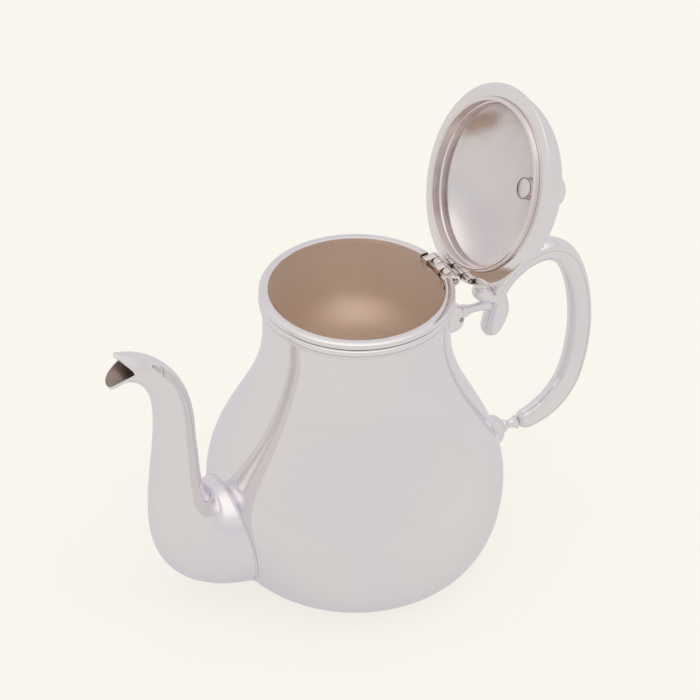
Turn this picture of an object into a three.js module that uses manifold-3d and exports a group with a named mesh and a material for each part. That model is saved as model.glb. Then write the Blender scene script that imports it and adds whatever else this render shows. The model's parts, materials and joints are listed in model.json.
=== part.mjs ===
// Silver teapot: pear-shaped body with a swan-neck spout, a hinged domed lid shown open, and a C handle
// pinned between two sockets. Millimetres, +Z up, origin at the centre of the base; the handle is at +X
// and the spout at -X, so Y = 0 is the mirror plane.
import * as THREE from "three";
import Module from "manifold-3d";
import { mergeVertices } from "three/addons/utils/BufferGeometryUtils.js";

const wasm = await Module();
wasm.setup();

// ---------------------------------------------------------------- driving dimensions
const gap = 0.3; // left between pieces that touch
const round = 40; // facets of the large turned pieces

const potHeight = 134; // table to the top of the rim
const mouthRadius = 36.5; // inside of the rim
const lipWidth = 3.8;
const lipHeight = 2.8;
const lipEdge = 0.8; // rounding of the lip
const bandHeight = 4.4; // stepped wire under the lip
const bandGrowth = 0.3; // how far the band stands outside the lip
const bandEdge = 0.4;
const bodyWall = 1.2;
const bodyLedge = 1.3; // how far the lip reaches in past the body's wall
const neckLength = 19; // the straight neck under the rim
const bellyRadius = 64.6;
const bellyHeight = 36;
const baseRadius = 46;
// Fullness of the body's outline at its base, under and over the belly, and into the neck.
const baseFullness = 0.55;
const bellyUnder = 0.38;
const bellyOver = 0.36;
const neckSweep = 0.45;

const strainerHole = 1.5; // radius
const strainerPitch = 4.6;
const strainerRings = 2;
const drillLength = 30;

const spoutWall = 1.1;
const spoutRootHeight = 27; // centre of the spout's root
const rootWire = 0.8; // width of the wire round the root
const ridgeStart = 0.82; // share of the spout's length where its upper side is drawn to a ridge
const ridgeDraw = 0.34; // how much narrower the ridge gets
const spoutCutMargin = 12; // how far the mouth's cutter reaches past the lips
const spoutCutWidth = 40;

const hingeRoom = 0.9; // between the knuckles' top and the top of the rim
const hingeStandOff = 0.3; // hinge axis outside the lip
const hingeLength = 20.4;
const knuckleRadius = 2.5;
const pinRadius = 0.9;
const pinPlay = 0.12;
const openAngle = 110.6; // degrees from closed to the stop
const leafBelowRim = 1.4; // top of the rim down to the pot's leaf
const leafPocket = 1.8; // depth of the pockets that the lid's knuckles turn in
const lidLeafOut = 1; // how far the lid's leaf reaches past the hinge axis

const lidOverhang = 1.5; // lid's lip past the pot's
const lidLipHeight = 1.9;
const lidStepIn = 1.4; // each ring of the lid stands in from the one below it
const lidStepHeight = 1.8;
const lidEdge = 0.6;
const domeIn = 1.2;
const domeHeight = 23.2; // lid plane to the outside of the crown
const domeWall = 1.2;
const domeShoulder = 0.5;
const domeCrown = 0.52;
const bezelPlay = 0.6; // bezel to mouth, radially
const bezelWall = 1.7;
const bezelDrop = 2.2;
const finialRadius = 7.4;
const finialHeight = 16;
const finialStem = 2;
const nutRadius = 4.6;
const nutThickness = 2.4;
const nutEdge = 0.4;

const socketWidth = 9;
const socketBevel = 1.4;
const socketFullness = 0.9;
const socketShoulder = 1; // straight stretch where a socket meets the body
const socketSunk = 8; // the blank starts this far inside the body, before it is cut to it
const tenonRadius = 2;
const stemRadius = 2.7;
const upperPinDrop = 29; // top of the rim down to the upper socket's pin
const upperSocketTall = 15;
const lowerSocketHeight = 35;
const lowerSocketTall = 16;
const upperSocketReach = 11; // body surface to the socket's nose
const upperPinReach = 7.4; // body surface to the pin
const lowerSocketReach = 10;
const lowerPinReach = 5;
const handleWidth = 11;
const handleDepth = 10;
const handleReach = 39.7; // how far the limb stands out from the line between its two ends
const handleWall = 1.1;
const upperStemLength = 10.5;
const lowerStemLength = 5;
const tenonLength = 8;
const socketPinRadius = 1;
const upperStemRise = 1; // the upper stem's line over the pin
const lowerStemRise = 0.5;
const limbInset = 4.6; // scroll's face out to the limb's upper end
const limbRise = 5.5;
const limbFootInset = 1.5;
const limbFootDrop = 0.5;
const limbBackShare = 0.6; // share of the limb's depth behind its soldered edge
const limbSolidEnd = 0.03; // share of the limb's length left solid at each end

// Sizes that follow from those.
const neckHeight = potHeight - neckLength;
const neckRadius = mouthRadius + bodyLedge + bodyWall;
const rimRadius = mouthRadius + lipWidth;
const lidRadius = rimRadius + lidOverhang;
const lidStepRadius = lidRadius - lidStepIn;
const domeRadius = lidStepRadius - domeIn;
const hingeOut = rimRadius + hingeStandOff; // pot axis to the hinge axis
const hingeHeight = potHeight - hingeRoom - knuckleRadius;
const upperPinHeight = potHeight - upperPinDrop;

// ---------------------------------------------------------------- small helpers
const V2 = (x, y) => new THREE.Vector2(x, y);
const V3 = (x, y, z) => new THREE.Vector3(x, y, z);

// A closed geometry as a solid, turned face-out if it was built inside out.
function solid(geometry) {
  const bare = geometry.clone();
  bare.deleteAttribute("normal");
  bare.deleteAttribute("uv");
  const merged = mergeVertices(bare, 1e-4);
  const triVerts = new Uint32Array(merged.index.array);
  const vertProperties = merged.attributes.position.array;
  const made = new wasm.Manifold(new wasm.Mesh({ numProp: 3, vertProperties, triVerts }));
  if (made.volume() > 0) return made;
  const turned = triVerts.slice();
  for (let i = 0; i < turned.length; i += 3) [turned[i + 1], turned[i + 2]] = [turned[i + 2], turned[i + 1]];
  return new wasm.Manifold(new wasm.Mesh({ numProp: 3, vertProperties, triVerts: turned }));
}

// A solid as a drawable geometry.
function geometryOf(made) {
  const mesh = made.getMesh();
  const geometry = new THREE.BufferGeometry();
  const positions = new Float32Array((mesh.vertProperties.length / mesh.numProp) * 3);
  for (let i = 0; i * 3 < positions.length; i++)
    for (let k = 0; k < 3; k++) positions[i * 3 + k] = mesh.vertProperties[i * mesh.numProp + k];
  geometry.setAttribute("position", new THREE.BufferAttribute(positions, 3));
  geometry.setIndex(new THREE.BufferAttribute(new Uint32Array(mesh.triVerts), 1));
  geometry.computeVertexNormals();
  return geometry;
}

// A turned piece about Z from (radius, height) points; an open profile must start and end on the axis.
function turned(points, facets = round) {
  return new THREE.LatheGeometry(points, facets).rotateX(Math.PI / 2);
}
const ring = (points, facets = round) => turned([...points, points[0]], facets);

// A solid skinned over rings of equal point count, with flat ends.
function skinned(rings) {
  const count = rings[0].length;
  const positions = rings.flat().flatMap((p) => [p.x, p.y, p.z]);
  const index = [];
  for (let i = 0; i + 1 < rings.length; i++)
    for (let j = 0; j < count; j++) {
      const a = i * count + j;
      const b = i * count + ((j + 1) % count);
      index.push(a, b, a + count, b, b + count, a + count);
    }
  const last = (rings.length - 1) * count;
  for (let j = 1; j + 1 < count; j++) index.push(0, j + 1, j, last, last + j, last + j + 1);
  const geometry = new THREE.BufferGeometry();
  geometry.setAttribute("position", new THREE.Float32BufferAttribute(positions, 3));
  geometry.setIndex(index);
  return solid(geometry);
}

function box(x0, x1, y0, y1, z0, z1) {
  const geometry = new THREE.BoxGeometry(x1 - x0, y1 - y0, z1 - z0);
  return solid(geometry.translate((x0 + x1) / 2, (y0 + y1) / 2, (z0 + z1) / 2));
}

// A cylinder along Y.
const crossPin = (radius, length, x, y, z, facets = 16) =>
  solid(new THREE.CylinderGeometry(radius, radius, length, facets).translate(x, y, z));

const far = 400; // reaches past the whole pot

// ---------------------------------------------------------------- body
// Outline from the base's edge round the belly and up to the neck, as three Bezier curves.
const shellTop = potHeight - lipHeight - gap;
const baseCurve = new THREE.CubicBezierCurve(
  V2(baseRadius, 0),
  V2(baseRadius + baseFullness * (bellyRadius - baseRadius), 0),
  V2(bellyRadius, bellyUnder * bellyHeight),
  V2(bellyRadius, bellyHeight),
);
const shoulderCurve = new THREE.CubicBezierCurve(
  V2(bellyRadius, bellyHeight),
  V2(bellyRadius, bellyHeight + bellyOver * (neckHeight - bellyHeight)),
  V2(neckRadius, neckHeight - neckSweep * (neckHeight - bellyHeight)),
  V2(neckRadius, neckHeight),
);
const neckCurve = new THREE.LineCurve(V2(neckRadius, neckHeight), V2(neckRadius, shellTop));
const bodyOutline = [
  ...baseCurve.getPoints(6).slice(0, -1),
  ...shoulderCurve.getPoints(8).slice(0, -1),
  ...neckCurve.getPoints(2),
];

// The outline moved along its own normals, outwards for a positive distance.
function offset(outline, distance) {
  return outline.map((p, i) => {
    const before = outline[Math.max(i - 1, 0)];
    const after = outline[Math.min(i + 1, outline.length - 1)];
    const along = after.clone().sub(before).normalize();
    return V2(p.x + along.y * distance, p.y - along.x * distance);
  });
}

function bodyBlank(distance, top = shellTop) {
  const outline = offset(bodyOutline, distance);
  const floor = -distance;
  outline[0].y = floor;
  outline[outline.length - 1].y = top;
  return solid(turned([V2(0, floor), ...outline, V2(0, top)]));
}

// Radius of the body's outside at a height.
function bodyRadiusAt(z) {
  const i = bodyOutline.findIndex((p) => p.y >= z);
  const [a, b] = [bodyOutline[Math.max(i - 1, 0)], bodyOutline[i]];
  return a.x + ((b.x - a.x) * (z - a.y)) / (b.y - a.y || 1);
}

const bodyKeepOut = bodyBlank(gap, potHeight);

// ---------------------------------------------------------------- hinge place
const hingeHalf = hingeLength / 2;
const notch = box(0, far, -hingeHalf - gap, hingeHalf + gap, hingeHeight - knuckleRadius - gap, far);

// ---------------------------------------------------------------- spout
// Side view of the spout: [inner side, outer side, half-width], each side as (out from the body's
// surface at the root, height above the root's centre).
const spoutRows = [
  [[-12, 23.5], [-14, -24.2], 25.8],
  [[-1.9, 24.2], [-5.5, -23.6], 24.9],
  [[2.9, 23.7], [7, -21.4], 22.4],
  [[5.9, 25.8], [18.5, -15.8], 19],
  [[7.7, 29.3], [26.5, -6.2], 16],
  [[8.7, 35], [30.8, 7], 13.7],
  [[9.3, 42], [31.4, 23], 12],
  [[9.7, 50], [30.1, 39], 10.7],
  [[10.3, 59], [28.4, 53], 9.6],
  [[10.8, 69.3], [27.3, 67], 9.1],
  [[12.6, 79.6], [27.7, 77.6], 8.9],
  [[16.4, 89], [29.6, 84.4], 8.7],
  [[22.2, 96.6], [32.5, 89.8], 8.3],
  [[29.3, 102.4], [36.4, 93.4], 7.9],
  [[36.5, 106], [40.8, 94.6], 7.5],
  [[46, 108.8], [48, 91.6], 7.2],
];
const spoutRootOut = bodyRadiusAt(spoutRootHeight);
const spoutSteps = 24;
const spoutFacets = 18;
const spoutPoint = ([out, up]) => V3(-(spoutRootOut + out), 0, spoutRootHeight + up);
const through = (points) => new THREE.CatmullRomCurve3(points, false, "centripetal");
const spoutInner = through(spoutRows.map((row) => spoutPoint(row[0])));
const spoutOuter = through(spoutRows.map((row) => spoutPoint(row[1])));
const spoutWidth = through(spoutRows.map((row, i) => V3(i, row[2], 0)));

// One section: round at the root, drawn to a ridge along the top towards the mouth.
function spoutRing(t, inset) {
  const inner = spoutInner.getPoint(t);
  const outer = spoutOuter.getPoint(t);
  const middle = inner.clone().add(outer).multiplyScalar(0.5);
  const half = inner.distanceTo(outer) / 2 - inset;
  const up = inner.clone().sub(outer).normalize();
  const width = spoutWidth.getPoint(t).y - inset;
  const ridge = THREE.MathUtils.smoothstep(t, ridgeStart, 1) * ridgeDraw;
  const points = [];
  for (let j = 0; j < spoutFacets; j++) {
    const a = (2 * Math.PI * j) / spoutFacets;
    const rise = Math.sin(a);
    const pinch = rise > 0 ? 1 - ridge * rise : 1;
    const p = middle.clone().addScaledVector(up, half * rise);
    p.y += width * Math.cos(a) * pinch;
    points.push(p);
  }
  return points;
}
function spoutBlank(inset) {
  const rings = [];
  for (let i = 0; i <= spoutSteps; i++) rings.push(spoutRing(i / spoutSteps, inset));
  return skinned(rings);
}

// The mouth is cut to a bird's beak: the top and the bottom lip stand out past the sides.
const beakTop = spoutPoint([42.5, 107.9]);
const beakSide = spoutPoint([36.8, 100.4]);
const beakLip = spoutPoint([45.9, 92.4]);
const lipBow = spoutPoint([43.6, 97]);
const mouthShape = new THREE.Shape();
mouthShape.moveTo(beakTop.x, beakTop.z);
mouthShape.quadraticCurveTo(beakSide.x, beakSide.z + 1, beakSide.x, beakSide.z);
mouthShape.quadraticCurveTo(lipBow.x, lipBow.z, beakLip.x, beakLip.z);
mouthShape.lineTo(beakLip.x - 1, beakLip.z - spoutCutMargin);
mouthShape.lineTo(-far, beakLip.z - spoutCutMargin);
mouthShape.lineTo(-far, beakTop.z + spoutCutMargin);
mouthShape.lineTo(beakTop.x - 1, beakTop.z + spoutCutMargin);
const mouthCutter = solid(
  new THREE.ExtrudeGeometry(mouthShape, { depth: spoutCutWidth, bevelEnabled: false, curveSegments: 6 })
    .translate(0, 0, -spoutCutWidth / 2)
    .rotateX(Math.PI / 2));

const spoutShell = spoutBlank(0)
  .subtract(spoutBlank(spoutWall))
  .subtract(mouthCutter)
  .subtract(bodyKeepOut);
const leftSide = box(-far, far, gap / 2, far, -far, far);
const rightSide = box(-far, far, -far, -gap / 2, -far, far);

const wireBand = bodyBlank(gap + rootWire, potHeight).subtract(bodyKeepOut);
const spoutRootWire = wireBand.intersect(spoutBlank(-gap - rootWire)).subtract(spoutBlank(-gap));

// Holes of the strainer, drilled through the body's wall behind the spout.
function strainerDrills() {
  const row = strainerPitch * Math.sin(Math.PI / 3);
  let drills = null;
  for (let i = -strainerRings; i <= strainerRings; i++) {
    const count = 2 * strainerRings + 1 - Math.abs(i);
    for (let j = 0; j < count; j++) {
      const y = (j - (count - 1) / 2) * strainerPitch;
      const z = spoutRootHeight + i * row;
      const drill = solid(
        new THREE.CylinderGeometry(strainerHole, strainerHole, drillLength, 10)
          .rotateZ(Math.PI / 2)
          .translate(-spoutRootOut, y, z));
      drills = drills ? drills.add(drill) : drill;
    }
  }
  return drills;
}

const bodyShell = bodyBlank(0)
  .subtract(bodyBlank(-bodyWall, far))
  .subtract(strainerDrills())
  .subtract(notch);

// ---------------------------------------------------------------- rim
const lip = solid(ring([
  V2(mouthRadius, potHeight - lipHeight),
  V2(mouthRadius, potHeight - lipEdge / 2),
  V2(mouthRadius + lipEdge / 2, potHeight),
  V2(rimRadius - lipEdge, potHeight),
  V2(rimRadius, potHeight - lipEdge),
  V2(rimRadius, potHeight - lipHeight + lipEdge),
  V2(rimRadius - lipEdge, potHeight - lipHeight),
])).subtract(notch);

const bandRadius = rimRadius + bandGrowth;
const bandTop = potHeight - lipHeight - gap;
const bandInner = neckRadius + gap;
const band = solid(ring([
  V2(bandInner, bandTop - bandHeight),
  V2(bandRadius - 2 * bandEdge, bandTop - bandHeight),
  V2(bandRadius - bandEdge, bandTop - bandHeight + 2 * bandEdge),
  V2(bandRadius, bandTop - bandHeight / 2),
  V2(bandRadius - bandEdge, bandTop - 2 * bandEdge),
  V2(bandRadius - 2 * bandEdge, bandTop),
  V2(bandInner, bandTop),
])).subtract(notch);

// ---------------------------------------------------------------- hinge
const knuckleCount = 5;
const knuckleLength = hingeLength / knuckleCount - gap;
const knuckleAt = (i) => -hingeHalf + (i + 0.5) * (hingeLength / knuckleCount);
const pinHole = crossPin(pinRadius + pinPlay, far, hingeOut, 0, hingeHeight);
const knuckle = (i) =>
  crossPin(knuckleRadius, knuckleLength, hingeOut, knuckleAt(i), hingeHeight, 20).subtract(pinHole);

const leafOut = hingeOut - knuckleRadius - gap;
const leafTop = potHeight - leafBelowRim;
const leafBottom = hingeHeight - knuckleRadius;
const leafRing = solid(ring([
  V2(mouthRadius, leafBottom),
  V2(mouthRadius, leafTop),
  V2(hingeOut, leafTop),
  V2(hingeOut, leafBottom),
]));
let potLeaf = leafRing.intersect(box(0, leafOut, -hingeHalf, hingeHalf, leafBottom, leafTop));
for (const i of [1, 3]) {
  const half = knuckleLength / 2 + gap;
  const y = knuckleAt(i);
  potLeaf = potLeaf.subtract(box(0, far, y - half, y + half, leafTop - leafPocket, far));
}

const lidPlane = potHeight + gap;
const lidLeaf = box(
  hingeOut - knuckleRadius + gap, hingeOut + lidLeafOut,
  -hingeHalf + gap, hingeHalf - gap, hingeHeight + knuckleRadius + gap / 2, lidPlane - gap / 2);

// ---------------------------------------------------------------- lid, in its closed place
const lidLip = solid(ring([
  V2(mouthRadius - bezelPlay + gap, lidPlane),
  V2(lidRadius - lidEdge, lidPlane),
  V2(lidRadius, lidPlane + lidEdge),
  V2(lidRadius, lidPlane + lidLipHeight - lidEdge),
  V2(lidRadius - lidEdge, lidPlane + lidLipHeight),
  V2(mouthRadius - bezelPlay + gap, lidPlane + lidLipHeight),
]));
const stepBottom = lidPlane + lidLipHeight + gap;
const lidStep = solid(ring([
  V2(mouthRadius - bezelPlay + gap, stepBottom),
  V2(lidStepRadius - lidEdge / 2, stepBottom),
  V2(lidStepRadius, stepBottom + lidEdge),
  V2(lidStepRadius, stepBottom + lidStepHeight - lidEdge),
  V2(lidStepRadius - lidEdge, stepBottom + lidStepHeight),
  V2(mouthRadius - bezelPlay + gap, stepBottom + lidStepHeight),
]));
const bezelOut = mouthRadius - bezelPlay;
const bezelTop = stepBottom + lidStepHeight;
const bezel = solid(ring([
  V2(bezelOut - bezelWall, lidPlane - bezelDrop),
  V2(bezelOut - lidEdge, lidPlane - bezelDrop),
  V2(bezelOut, lidPlane - bezelDrop + lidEdge),
  V2(bezelOut, bezelTop),
  V2(bezelOut - bezelWall, bezelTop),
]));

const domeBottom = bezelTop + gap;
const crown = lidPlane + domeHeight;
const domeRise = crown - domeBottom;
const domeCurve = new THREE.CubicBezierCurve(
  V2(domeRadius, domeBottom),
  V2(domeRadius, domeBottom + domeShoulder * domeRise),
  V2(domeCrown * domeRadius, crown),
  V2(0, crown),
);
const domeOutline = domeCurve.getPoints(8);
const domeInside = offset(domeOutline, -domeWall);
domeInside[0].y = domeBottom;
domeInside[domeInside.length - 1].x = 0;
const finialHole = solid(new THREE.CylinderGeometry(finialStem + gap, finialStem + gap, far, 16)
  .rotateX(Math.PI / 2));
const dome = solid(ring([...domeOutline, ...domeInside.reverse()])).subtract(finialHole);

// Button on a short neck, with a threaded shank through the crown and a round nut inside.
const seat = crown + gap;
const shankEnd = crown - domeWall - gap - nutThickness;
const finial = solid(turned([
  V2(0, shankEnd),
  V2(finialStem, shankEnd),
  V2(finialStem, seat),
  V2(finialRadius * 0.75, seat),
  V2(finialRadius * 0.5, seat + finialHeight * 0.2),
  V2(finialRadius * 0.45, seat + finialHeight * 0.35),
  V2(finialRadius * 0.9, seat + finialHeight * 0.52),
  V2(finialRadius, seat + finialHeight * 0.68),
  V2(finialRadius * 0.82, seat + finialHeight * 0.88),
  V2(finialRadius * 0.45, seat + finialHeight * 0.98),
  V2(0, seat + finialHeight),
], 24));
const nutTop = crown - domeWall - gap;
const finialNut = solid(ring([
  V2(finialStem + gap, nutTop - nutThickness),
  V2(nutRadius - nutEdge, nutTop - nutThickness),
  V2(nutRadius, nutTop - nutThickness + nutEdge),
  V2(nutRadius, nutTop),
  V2(finialStem + gap, nutTop),
], 24));

// ---------------------------------------------------------------- handle sockets and stems
const upperOut = bodyRadiusAt(upperPinHeight);
const lowerOut = bodyRadiusAt(lowerSocketHeight);
const upperNose = upperOut + upperSocketReach;
const lowerNose = lowerOut + lowerSocketReach;

// A socket is a rounded block, wide where it meets the body and drawn in to its nose.
function socketBlank(root, nose, z, tall) {
  const shape = new THREE.Shape();
  const half = tall / 2;
  const full = half * socketFullness;
  shape.moveTo(root - socketSunk, z - half);
  shape.lineTo(root + socketShoulder, z - half);
  shape.quadraticCurveTo(nose, z - full, nose, z);
  shape.quadraticCurveTo(nose, z + full, root + socketShoulder, z + half);
  shape.lineTo(root - socketSunk, z + half);
  const geometry = new THREE.ExtrudeGeometry(shape, {
    depth: socketWidth - 2 * socketBevel,
    bevelThickness: socketBevel,
    bevelSize: socketBevel,
    bevelOffset: -socketBevel,
    bevelSegments: 2,
    curveSegments: 6,
  });
  return solid(geometry.rotateX(Math.PI / 2).translate(0, socketWidth / 2 - socketBevel, 0));
}

// A stem along X: a tenon inside the socket, a waisted neck, and a flared foot on the handle.
// The neck's outline is in shares of its length and of the stem's radius.
const stemNeck = [[0.05, 1], [0.35, 0.72], [0.65, 0.8], [1, 1.15]];
function stemBlank(tenonX, neckX, footX, z) {
  const span = footX - neckX;
  const profile = [
    V2(0, tenonX),
    V2(tenonRadius, tenonX),
    V2(tenonRadius, neckX),
    ...stemNeck.map(([along, share]) => V2(stemRadius * share, neckX + along * span)),
    V2(0, footX),
  ];
  return solid(new THREE.LatheGeometry(profile, 20).rotateZ(-Math.PI / 2).translate(0, 0, z));
}
const tenonHole = (x0, x1, z) =>
  solid(new THREE.CylinderGeometry(tenonRadius + gap, tenonRadius + gap, x1 - x0, 16)
    .rotateZ(Math.PI / 2)
    .translate((x0 + x1) / 2, 0, z));

const upperPinOut = upperOut + upperPinReach;
const lowerPinOut = lowerOut + lowerPinReach;
const upperStemHeight = upperPinHeight + upperStemRise;
const lowerStemHeight = lowerSocketHeight + lowerStemRise;

const upperPinHole = crossPin(socketPinRadius + pinPlay, far, upperPinOut, 0, upperPinHeight);
const lowerPinHole = crossPin(socketPinRadius + pinPlay, far, lowerPinOut, 0, lowerStemHeight);
const upperSocket = socketBlank(upperOut, upperNose, upperPinHeight, upperSocketTall)
  .subtract(bodyKeepOut)
  .subtract(tenonHole(upperNose - tenonLength - gap, upperNose + tenonLength, upperStemHeight))
  .subtract(upperPinHole);
const lowerSocket = socketBlank(lowerOut, lowerNose, lowerSocketHeight, lowerSocketTall)
  .subtract(bodyKeepOut)
  .subtract(tenonHole(lowerNose - tenonLength - gap, lowerNose + tenonLength, lowerStemHeight))
  .subtract(lowerPinHole);

const scrollFace = upperNose + gap + upperStemLength;
const limbFoot = lowerNose + gap + lowerStemLength;

// ---------------------------------------------------------------- handle
// The limb's middle line: [along the line from its upper to its lower end, out from it, size].
const limbTop = V3(scrollFace + limbInset, 0, upperStemHeight + limbRise);
const limbEnd = V3(limbFoot + limbFootInset, 0, lowerStemHeight - limbFootDrop);
const limbRows = [
  [0, 0, 0.82],
  [-0.084, 0.169, 0.9],
  [-0.138, 0.397, 0.97],
  [-0.1405, 0.642, 1],
  [-0.0895, 0.814, 1],
  [-0.006, 0.922, 1],
  [0.125, 0.982, 1],
  [0.27, 1, 1],
  [0.425, 0.98, 1],
  [0.569, 0.924, 1],
  [0.71, 0.834, 1],
  [0.846, 0.696, 1],
  [0.952, 0.468, 0.97],
  [0.9975, 0.209, 0.88],
  [1, 0, 0.76],
];
const limbAlong = limbEnd.clone().sub(limbTop);
const limbOutward = V3(-limbAlong.z, 0, limbAlong.x).normalize();
const limbCurve = through(limbRows.map(([along, out]) =>
  limbTop.clone().addScaledVector(limbAlong, along).addScaledVector(limbOutward, out * handleReach)));
const limbSize = new THREE.CatmullRomCurve3(limbRows.map((row, i) => V3(i, row[2], 0)));
const limbSteps = 26;
const limbFacets = 6;
const seamCross = 1; // the hollow's cutter reaches this far past the seam

// One half of the limb's section; side +1 is the rounded back, -1 the flatter face to the hand.
function halfRing(t, side, inset) {
  const at = limbCurve.getPoint(t);
  const ahead = limbCurve.getTangent(t);
  const out = V3(-ahead.z, 0, ahead.x).multiplyScalar(-side);
  const size = limbSize.getPoint(t).y;
  const edge = gap / 2;
  const depth = handleDepth * size * (side > 0 ? limbBackShare : 1 - limbBackShare) - inset - edge;
  const width = (handleWidth * size) / 2 - inset;
  const place = (y, outward) => {
    const p = at.clone().addScaledVector(out, outward);
    p.y = y;
    return p;
  };
  const points = [];
  for (let j = 0; j <= limbFacets; j++) {
    const a = (Math.PI * j) / limbFacets;
    points.push(place(width * Math.cos(a), edge + depth * Math.sin(a)));
  }
  if (inset > 0) points.push(place(-width, -seamCross), place(width, -seamCross));
  return points;
}
function limbHalf(side, inset, from, to) {
  const rings = [];
  for (let i = 0; i <= limbSteps; i++)
    rings.push(halfRing(from + ((to - from) * i) / limbSteps, side, inset));
  return skinned(rings);
}
const limbHollow = (side) =>
  limbHalf(side, 0, 0, 1).subtract(limbHalf(side, handleWall, limbSolidEnd, 1 - limbSolidEnd));

// Rounded horns skinned along a line: [out, up, half-thickness, half-width] from a start point.
function horn(start, rows, grow) {
  const spine = new THREE.CatmullRomCurve3(rows.map(([out, up]) => V3(start.x + out, 0, start.z + up)));
  const size = new THREE.CatmullRomCurve3(rows.map((row, i) => V3(i, row[2] + grow, row[3] + grow)));
  const steps = 9;
  const facets = 12;
  const rings = [];
  for (let i = 0; i <= steps; i++) {
    const t = i / steps;
    const at = spine.getPoint(t);
    const ahead = spine.getTangent(t);
    const s = size.getPoint(t);
    const side = V3(-ahead.z, 0, ahead.x);
    const points = [];
    for (let j = 0; j < facets; j++) {
      const a = (2 * Math.PI * j) / facets;
      const p = at.clone().addScaledVector(side, s.y * Math.sin(a));
      p.y = s.z * Math.cos(a);
      points.push(p);
    }
    rings.push(points);
  }
  return skinned(rings);
}
// The scroll hangs down from the limb's top end, and a spur turns back over the stem.
const scrollRows = [
  [0, 0, 4, 4.6],
  [1.2, -4.6, 4.4, 5],
  [1.3, -9.5, 5, 5.5],
  [-0.4, -15, 4.8, 5.3],
  [-2.2, -19.6, 3.6, 4.2],
  [-3.2, -22.2, 0.7, 0.9],
];
const spurRows = [
  [1, -3, 3, 4],
  [-2.5, -1.2, 2.9, 4.2],
  [-5.6, 1, 3.1, 4.3],
  [-8, 3, 2.6, 3.4],
  [-9.6, 4.6, 0.5, 0.7],
];
const limbStart = limbCurve.getTangent(0);
const scrollStart = limbTop.clone().addScaledVector(limbStart, -gap);
const limbSide = solid(new THREE.BoxGeometry(far, far, far)
  .translate(0, 0, far / 2 - gap)
  .applyMatrix4(new THREE.Matrix4().makeBasis(
    V3(limbStart.z, 0, -limbStart.x), V3(0, 1, 0), limbStart).setPosition(limbTop)));
const scrollBlank = (grow) => horn(scrollStart, scrollRows, grow).add(horn(scrollStart, spurRows, grow));
const scroll = scrollBlank(0).subtract(limbSide);
const scrollKeepOut = scrollBlank(gap);

const limbKeepOut = limbHalf(1, -gap, 0, 1).add(limbHalf(-1, -gap, 0, 1));
const upperStem = stemBlank(upperNose - tenonLength, upperNose + gap, limbTop.x, upperStemHeight)
  .subtract(upperPinHole)
  .subtract(scrollKeepOut);
const lowerStem = stemBlank(lowerNose - tenonLength, lowerNose + gap, limbEnd.x - gap, lowerStemHeight)
  .subtract(lowerPinHole)
  .subtract(limbKeepOut);

// ---------------------------------------------------------------- finishes
const polished = () => new THREE.MeshStandardMaterial({ color: 0xd9d6d4, metalness: 1, roughness: 0.12 });
const brushed = () => new THREE.MeshStandardMaterial({ color: 0xc9beb6, metalness: 1, roughness: 0.35 });
const steel = () => new THREE.MeshStandardMaterial({ color: 0xb8b4b0, metalness: 1, roughness: 0.3 });

function mesh(name, made, material) {
  const piece = new THREE.Mesh(geometryOf(made), material);
  piece.name = name;
  return piece;
}

// ---------------------------------------------------------------- assembly
const pot = new THREE.Group();
pot.add(
  mesh("body_shell", bodyShell, brushed()),
  mesh("rim_lip", lip, polished()),
  mesh("rim_band", band, polished()),
  mesh("spout_left", spoutShell.intersect(leftSide), polished()),
  mesh("spout_right", spoutShell.intersect(rightSide), polished()),
  mesh("spout_root_wire", spoutRootWire, polished()),
  mesh("hinge_leaf_pot", potLeaf, polished()),
  mesh("hinge_knuckle_pot_near", knuckle(0), polished()),
  mesh("hinge_knuckle_pot_middle", knuckle(2), polished()),
  mesh("hinge_knuckle_pot_far", knuckle(4), polished()),
  mesh("hinge_pin", crossPin(pinRadius, hingeLength - gap, hingeOut, 0, hingeHeight), steel()),
  mesh("upper_socket", upperSocket, polished()),
  mesh("upper_socket_pin", crossPin(socketPinRadius, socketWidth, upperPinOut, 0, upperPinHeight), steel()),
  mesh("upper_stem", upperStem, polished()),
  mesh("lower_socket", lowerSocket, polished()),
  mesh("lower_socket_pin", crossPin(socketPinRadius, socketWidth, lowerPinOut, 0, lowerStemHeight), steel()),
  mesh("lower_stem", lowerStem, polished()),
  mesh("handle_back", limbHollow(1), polished()),
  mesh("handle_face", limbHollow(-1), polished()),
  mesh("handle_scroll", scroll, polished()),
);

// The lid is made closed and turned back about the hinge axis to its stop.
const lid = new THREE.Group();
lid.add(
  mesh("lid_dome", dome, polished()),
  mesh("lid_lip", lidLip, polished()),
  mesh("lid_step", lidStep, polished()),
  mesh("lid_bezel", bezel, polished()),
  mesh("hinge_leaf_lid", lidLeaf, polished()),
  mesh("hinge_knuckle_lid_near", knuckle(1), polished()),
  mesh("hinge_knuckle_lid_far", knuckle(3), polished()),
  mesh("finial", finial, polished()),
  mesh("finial_nut", finialNut, polished()),
);
lid.position.set(-hingeOut, 0, -hingeHeight);
const lidTurn = new THREE.Group();
lidTurn.position.set(hingeOut, 0, hingeHeight);
lidTurn.rotation.y = THREE.MathUtils.degToRad(openAngle);
lidTurn.add(lid);

const teapot = new THREE.Group();
teapot.add(pot, lidTurn);
export default teapot;
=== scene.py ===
import json
import math

import bmesh
import bpy
from mathutils import Matrix, Vector
from mathutils.geometry import interpolate_bezier


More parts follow.
